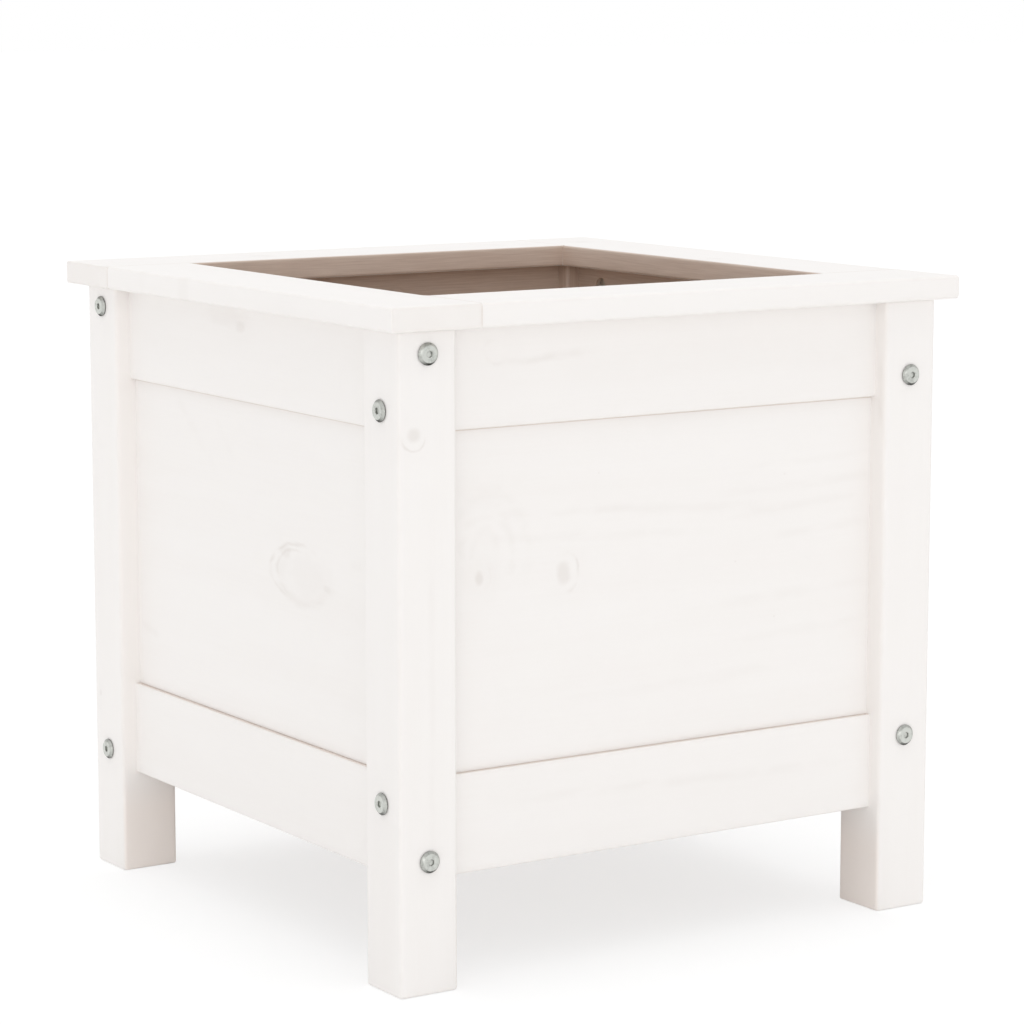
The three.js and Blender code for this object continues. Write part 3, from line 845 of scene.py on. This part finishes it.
zincForm = {
    "zinc": (0.645, 0.66, 0.622, 1),
    "dull": (0.40, 0.41, 0.385, 1),  # cloudy patches in the plating
    "paintedShadeAndTarnish": (0.035, 0.035, 0.03, 1),  # painted shade: dark in the socket, on the head's sloping edge and under the head, with a little tarnish
    "cloud": (0.45, 3.0, 0.6),  # scale, detail and roughness of each noise
    "grit": (5.0, 2.0, 0.6),
    "lathe": (1.0, 2.0, 0.7),
    "latheLines": (9.0, 1.5),  # lines in a millimetre of the profile, and how far they stray
    "dullEdge": (0.42, 0.72, 0.3),  # cloud values between which it turns dull, and the grit in them
    "dullShow": 0.6,
    "paintedShadeAndTarnishShow": (0.85, 0.8),  # how dark the painted shade and tarnish are, and how uneven
    "roughness": 0.30,
    "rougher": (0.25, 0.18, 0.10),  # what dullness, painted shade and tarnish, and grit add to it
    "relief": (0.02, 0.01),  # mm of lathe lines and grit
    "bump": 0.7,
}


def zincPlatedSteel():
    form = zincForm
    material, finish = newFinish("zincPlatedSteel")
    local = finish.place()
    cloud, grit = finish.noise(local, *form["cloud"]), finish.noise(local, *form["grit"]) - 0.5
    paintedShadeAndTarnish = finish.attribute("paintedShadeAndTarnish")
    close, stray = form["latheLines"]
    lines = finish.noise(finish.join(finish.attribute("lathe") * close, cloud * stray, 0.0), *form["lathe"])
    low, high, gritty = form["dullEdge"]
    dull = (cloud + grit * gritty).ramp(low, high) * form["dullShow"]
    colour = finish.mix(dull, form["zinc"], form["dull"])
    dark, uneven = form["paintedShadeAndTarnishShow"]
    # painted shade: darkens the socket, the sloping edge of each head and the lower sides of turned parts
    colour = finish.mix((paintedShadeAndTarnish + (cloud - 0.5) * paintedShadeAndTarnish * uneven) * dark, colour, form["paintedShadeAndTarnish"])
    finish.feed("Base Color", colour)
    finish.feed("Metallic", 1.0)
    finish.feed("Roughness", form["roughness"] + weigh(form["rougher"], dull, paintedShadeAndTarnish, grit))
    finish.feed("Normal", finish.bump(weigh(form["relief"], lines, grit), form["bump"]))
    return material


zincMaterial = zincPlatedSteel()


def turnedSurface(rows, columns=48, shape=None):
    # a profile turned about the X axis: each row gives its place along the axis, its radius, its
    # painted shade and tarnish, its share of another outline, shape(angle, share), and how much more
    # painted shade it has on its lower side, with 0 for what is left out; the first and last rows are the
    # poles
    rows = np.array([row + (0,) * (5 - len(row)) for row in rows], float)
    angle = np.linspace(0, 2 * math.pi, columns, endpoint=False)
    ring = rows[1:-1]
    radius = np.repeat(ring[:, 1][:, None], columns, 1)
    if shape is not None:
        radius = radius * shape(angle[None, :], ring[:, 3][:, None])
    axial = np.repeat(ring[:, 0][:, None], columns, 1)
    body = np.stack([axial, radius * np.cos(angle), radius * np.sin(angle)], -1).reshape(-1, 3)
    points = np.concatenate([body, [(rows[0, 0], 0, 0), (rows[-1, 0], 0, 0)]])
    corner = np.arange(columns)
    beside = np.roll(corner, -1)
    firstPole, lastPole, last = len(body), len(body) + 1, (len(ring) - 1) * columns
    faces = gridFaces(len(ring), columns)
    faces += np.stack([np.full(columns, firstPole), beside, corner], 1).tolist()
    faces += np.stack([np.full(columns, lastPole), last + corner, last + beside], 1).tolist()
    # painted shade: the lower side of each row darker, and the upper side a quarter as much
    below, above = (np.clip(way * np.sin(angle), 0, 1) ** 4 for way in (-1, 1))
    paintedShadeAndTarnish = ring[:, 2][:, None] + ring[:, 4][:, None] * (below + 0.25 * above)
    paintedShadeAndTarnish = np.concatenate([paintedShadeAndTarnish.ravel(), rows[[0, -1], 2]])
    run = np.concatenate([[0], np.cumsum(np.hypot(*np.diff(rows[:, :2], axis=0).T))])
    lathe = np.concatenate([np.repeat(run[1:-1], columns), run[[0, -1]]])
    return points, faces, {"paintedShadeAndTarnish": paintedShadeAndTarnish, "lathe": lathe}


def hexagonShare(angle, share):  # between a circle and a hexagon of the same distance across flats
    return 1 + share * (1 / np.cos((angle + math.pi / 6) % (math.pi / 3) - math.pi / 6) - 1)


boltForm = {
    "headRadius": 6.35, "headThickness": 2.0, "bevelWidth": 1.45, "bandThickness": 0.55,
    "shankRadius": 3.0, "length": 70.0, "tipChamfer": 0.8, "socketRadius": 1.7, "socketDepth": 1.2,
    "rounding": 0.16,
}


def boltSurface():
    # along +X with the underside of its head at 0; rows run from the floor of the socket outwards
    form = boltForm
    top, r, soft = -form["headThickness"], form["headRadius"], form["rounding"]
    floor, socket, shank = top + form["socketDepth"], form["socketRadius"], form["shankRadius"]
    inner, band, end = r - form["bevelWidth"], -form["bandThickness"], form["length"]
    # the third number of each row is painted shade with a little tarnish: most in the socket, on the sloping
    # edge and under the head
    return turnedSurface([
        (floor + 0.3, 0), (floor + 0.02, socket * 0.55, 0, 0.5), (floor, socket * 0.9, 0.15, 1),
        (floor - 0.06, socket, 0.36, 1), (top + 0.3, socket, 0.34, 1), (top + 0.08, socket + 0.1, 0.25, 0.8),
        (top, socket + 0.28, 0.1, 0.45), (top, socket + 0.6), (top, inner - 1.2), (top, inner - soft, 0.02),
        (top + 0.04, inner, 0.1, 0, 0.1), (top + 0.16, inner + soft, 0.22, 0, 0.85),
        (band - 0.16, r - soft * 0.7, 0.24, 0, 0.9), (band, r, 0.32, 0, 0.9), (-0.2, r, 0.45, 0, 0.7),
        (-0.06, r - 0.05, 1), (0, r - 0.2, 1), (0, shank + 0.3, 0.5), (0.3, shank), (end * 0.5, shank),
        (end - form["tipChamfer"], shank), (end, shank - form["tipChamfer"], 0.2), (end, 0, 0.2)],
        60, hexagonShare)


nutForm = {
    "half": (railThickness - 2 * joints["nutRecess"]) / 2, "chamfer": 0.6,
    "slotDepth": 1.4, "slotWidth": 1.6, "cutReach": 8.0, "cutOut": 4.0,  # the last two size the cutters
}


def nutSurface():
    # a barrel nut along X, its slotted end towards -X
    half, chamfer, radius = nutForm["half"], nutForm["chamfer"], joints["nutRadius"]
    return turnedSurface([
        (-half, 0, 0.2), (-half, radius - chamfer - 0.1, 0.2), (-half + 0.05, radius - chamfer, 0.3),
        (-half + chamfer, radius - 0.03, 0.2), (-half + chamfer + 0.1, radius),
        (half - chamfer - 0.1, radius), (half - chamfer, radius - 0.03, 0.2),
        (half, radius - chamfer, 0.2), (half, 0, 0.2)])


def nutCutters(nut, height):  # the bolt's hole and the slot, in the front rail's place
    reach = nutForm["cutReach"]
    deep, wide = nutForm["slotDepth"], nutForm["slotWidth"]
    return [boreCutter((nut - reach, legCentre, height), (nut + reach, legCentre, height), "boltRadius"),
            boxShell((nut - reach, legCentre + nutForm["half"] - deep, height - wide / 2),
                     (2 * reach, nutForm["cutOut"], wide))]


def placeTurned(points, axis, origin):  # lays a surface made along +X along a level axis instead
    axis = np.asarray(axis, float)
    side = np.cross((0, 0, 1), axis)
    upright = np.array((0, 0, 1.0))
    return np.asarray(origin) + points[:, :1] * axis + points[:, 1:2] * side + points[:, 2:] * upright


screwForm = {
    "headRadius": 3.6, "headHeight": 1.5, "recess": 1.9, "recessDepth": 1.3, "shank": 1.6, "length": 22.0,
    "tip": 5.0, "armWidth": 0.8, "armDepth": 0.62,
    "slatPlace": 18.0, "legGap": 10.0,  # mm from a slat's middle line, and at least this far from a leg
    "cleatPlaces": (-112.0, 0.0, 112.0),
}


def crossShare(angle, share):  # pulls a circle in to the four arms of a cross recess
    arm = np.abs(np.cos(2 * angle)) ** screwForm["armWidth"]
    return 1 - share * (1 - arm) * screwForm["armDepth"]


def screwSurface():  # a pan head screw along +X, the underside of its head at 0
    form = screwForm
    r, high, recess, shank = form["headRadius"], form["headHeight"], form["recess"], form["shank"]
    floor = form["recessDepth"] - high
    # the third number of each row is painted shade, most in the cross recess and under the head
    return turnedSurface([
        (floor, 0, 1), (floor - 0.2, recess * 0.35, 1, 0.9), (-high + 0.12, recess * 0.92, 0.8, 1),
        (-high, recess, 0.4, 0.9), (-high + 0.02, recess + 0.3, 0.05, 0.3), (-high * 0.93, r * 0.72),
        (-high * 0.76, r * 0.88, 0.05), (-high * 0.45, r * 0.985, 0.2), (-0.2, r, 0.6), (0, r - 0.05, 1),
        (0, shank, 0.5), (form["length"] - form["tip"], shank), (form["length"], 0)], 40, crossShare)


boltPoints, boltFaces, boltValues = boltSurface()
nutPoints, nutFaces, nutValues = nutSurface()


for side, (_, quarter) in sides.items():
    for railName in railCentres:
        for end, endName, height in zip((-1, 1), ("left", "right"), boreHeights(railName)):
            label = f"{side}_{railName}_{endName}"
            head = end * (-legCentre + legSide / 2 + joints["clearance"])
            points = placeTurned(boltPoints, (-end, 0, 0), (head, legCentre, height))
            name = "bolt_" + label + "_steel"
            piece = pieceFrom(name, meshFrom(name, turnQuarter(points, quarter), boltFaces, boltValues))
            smooth(piece, 24)
            settle(piece, "zinc_steel", zincMaterial, "bolt_" + label)
            nut = end * (railLength / 2 - joints["nutInset"])
            points = placeTurned(nutPoints, (0, -1, 0), (nut, legCentre, height))
            name = "barrel_nut_" + label + "_steel"
            piece = pieceFrom(name, meshFrom(name, turnQuarter(points, quarter), nutFaces, nutValues))
            carve(piece, [(turnQuarter(cut, quarter), faces) for cut, faces in nutCutters(nut, height)])
            smooth(piece, 24)
            settle(piece, "zinc_steel", zincMaterial, "barrel_nut_" + label)
print("bolts and barrel nuts made")

# Beech dowels, glued into the rails

dowelForm = {
    "flutes": 18, "fluteDepth": 0.35, "chamfer": 1.2,
    "early": (0.62, 0.44, 0.29, 1), "late": (0.45, 0.29, 0.18, 1),
    "pores": (1.6, 3.0, 0.65), "clouds": (0.12, 2.0),  # scale, detail and roughness of each noise
    "cloudShare": 0.6, "lateEdge": (0.4, 0.7),
    "roughness": 0.6, "rougher": 0.2, "relief": 0.06, "bump": 0.8,  # relief is in mm
}


def beech():
    form = dowelForm
    material, finish = newFinish("beech")
    local = finish.place()
    pores = finish.noise(local, *form["pores"])
    clouds = finish.noise(local, *form["clouds"]) - 0.5
    late = (pores + clouds * form["cloudShare"]).ramp(*form["lateEdge"])
    finish.feed("Base Color", finish.mix(late, form["early"], form["late"]))
    finish.feed("Roughness", form["roughness"] + (pores - 0.5) * form["rougher"])
    finish.feed("Normal", finish.bump(pores * form["relief"], form["bump"]))
    return material


def fluteShare(angle, share):  # shallow round valleys along the dowel
    return 1 - share * (0.5 - 0.5 * np.cos(dowelForm["flutes"] * angle)) ** 2


def dowelSurface(length):  # along +X from 0
    radius, chamfer = joints["dowelRadius"], dowelForm["chamfer"]
    share = dowelForm["fluteDepth"] / radius
    end = (radius - chamfer * 0.6, 0, share * 0.3)
    return turnedSurface([
        (0, 0), (0, *end), (chamfer, radius, 0, share), (length / 2, radius, 0, share),
        (length - chamfer, radius, 0, share), (length, *end), (length, 0)],
        4 * dowelForm["flutes"], fluteShare)


def placeUpright(points, origin, way):  # lays a surface made along +X along the upright axis
    return np.asarray(origin) + np.stack([points[:, 1], points[:, 2] * way, points[:, 0] * way], 1)


dowelPoints, dowelFaces, _ = dowelSurface(joints["dowelLength"])
dowels = []
for _, quarter in sides.values():
    for railName in railCentres:
        for end, height in zip((-1, 1), boreHeights(railName)[::-1]):
            start = end * (railLength / 2 + joints["dowelInLeg"])
            points = placeTurned(dowelPoints, (-end, 0, 0), (start, legCentre, height))
            dowels.append((turnQuarter(points, quarter), dowelFaces))
    for x in (-rimDowelPlace, rimDowelPlace):
        points = placeUpright(dowelPoints, (x, legCentre, rimLow[2] + joints["dowelInRim"]), -1)
        dowels.append((turnQuarter(points, quarter), dowelFaces))
piece = pieceFrom("dowels", meshFrom("dowels", *joinShells(dowels)))
smooth(piece, 30)
settle(piece, "painted_wood", beech())
print("dowels made")

cleatLow, cleatHigh = boxOf("cleat_front")
cleatMiddle = (cleatLow + cleatHigh) / 2
screwPoints, screwFaces, screwValues = screwSurface()
slatScrews, cleatScrews = [], []
for number in range(1, 6):
    low, high = boxOf(f"base_slat_{number}")
    middle = (low[0] + high[0]) / 2
    reach = min(screwForm["slatPlace"], abs(legCentre) - legSide / 2 - screwForm["legGap"] - abs(middle))
    for x in (middle - reach, middle + reach):
        for y in (cleatMiddle[1], -cleatMiddle[1]):
            slatScrews.append((placeUpright(screwPoints, (x, y, high[2]), -1), screwFaces))
for x in screwForm["cleatPlaces"]:
    for quarter in (0, 2):
        points = placeTurned(screwPoints, (0, -1, 0), (x, cleatHigh[1], cleatMiddle[2]))
        cleatScrews.append((turnQuarter(points, quarter), screwFaces))
for name, shells in (("slat_screws", slatScrews), ("cleat_screws", cleatScrews)):
    points, faces = joinShells(shells)
    values = {key: np.tile(numbers, len(shells)) for key, numbers in screwValues.items()}
    piece = pieceFrom(name, meshFrom(name, points, faces, values))
    smooth(piece, 30)
    settle(piece, "zinc_steel", zincMaterial)
print("screws made")


# The room: a pale floor with the object's soft shadow, and even studio light

stageForm = {
    "size": 30.0,  # metres from the middle to each edge
    "drop": 0.0002,  # metres that the floor lies under the feet
    "floor": (0.95, 0.95, 0.95, 1),  # as the light sees it
    "seenFloor": (0.34, 0.34, 0.34, 1),  # as the camera sees it, with the lift that makes it white
    "lift": 0.70,
    "sky": 0.553,  # strength of the light from everywhere, and what is added to it
    "zenith": 1.23,  # straight above
    "zenithFall": 4.0,
    "horizon": 1.2,  # in a band round the horizon
    "bandFall": 10.0,
    "lamps": [  # azimuth and height in degrees of where the light comes from, its angle and strength
        (-35, 12, 40, 0.44),
    ],
}


def seenBy(finish):  # 1 where the camera or a reflection looks, 0 where light is worked out
    camera = finish.node("ShaderNodeLightPath", output="Is Camera Ray")
    return camera.most(finish.node("ShaderNodeLightPath", output="Is Glossy Ray"))


def makeStage(form):
    across = np.linspace(-form["size"], form["size"], 3)
    x, y = np.meshgrid(across, across)
    points = np.stack([x.ravel(), y.ravel(), np.full(x.size, -form["drop"])], 1)
    corner = np.arange(9).reshape(3, 3)
    quads = np.stack([corner[:-1, :-1], corner[:-1, 1:], corner[1:, 1:], corner[1:, :-1]], -1).reshape(-1, 4)
    mesh = bpy.data.meshes.new("floor")
    mesh.from_pydata(points.tolist(), [], quads.tolist())
    floor = pieceFrom("floor", mesh)
    material, finish = newFinish("paleFloor")
    seen = seenBy(finish)
    lift = [form["lift"]] * 3 + [1]
    finish.feed("Base Color", finish.mix(seen, form["floor"], form["seenFloor"]))
    finish.feed("Roughness", 1.0)
    finish.feed("Specular IOR Level", 0.0)
    finish.feed("Emission Color", finish.mix(seen, (0, 0, 0, 1), lift))
    finish.feed("Emission Strength", 1.0)
    floor.data.materials.append(material)


def makeLight(form):
    world = bpy.data.worlds.new("studio")
    bpy.context.scene.world = world
    finish = Finish(world, "Background")
    height = finish.split(finish.node("ShaderNodeTexCoord", output="Generated"))[2]
    high = height.most(0.0)
    light = high ** form["zenithFall"] * form["zenith"] + (1.0 - high) ** form["bandFall"] * form["horizon"]
    light = light + form["sky"]
    seen = seenBy(finish)
    finish.feed("Color", (1, 1, 1, 1))
    finish.feed("Strength", light + seen * (1.0 - light))
    for number, (azimuth, elevation, angle, strength) in enumerate(form["lamps"]):
        data = bpy.data.lights.new(f"softLamp{number}", "SUN")
        data.angle = math.radians(angle)
        data.energy = strength
        lamp = pieceFrom(data.name, data)
        lamp.rotation_euler = (math.radians(90 - elevation), 0, math.radians(azimuth))


makeStage(stageForm)
makeLight(stageForm)
print("stage and light set")
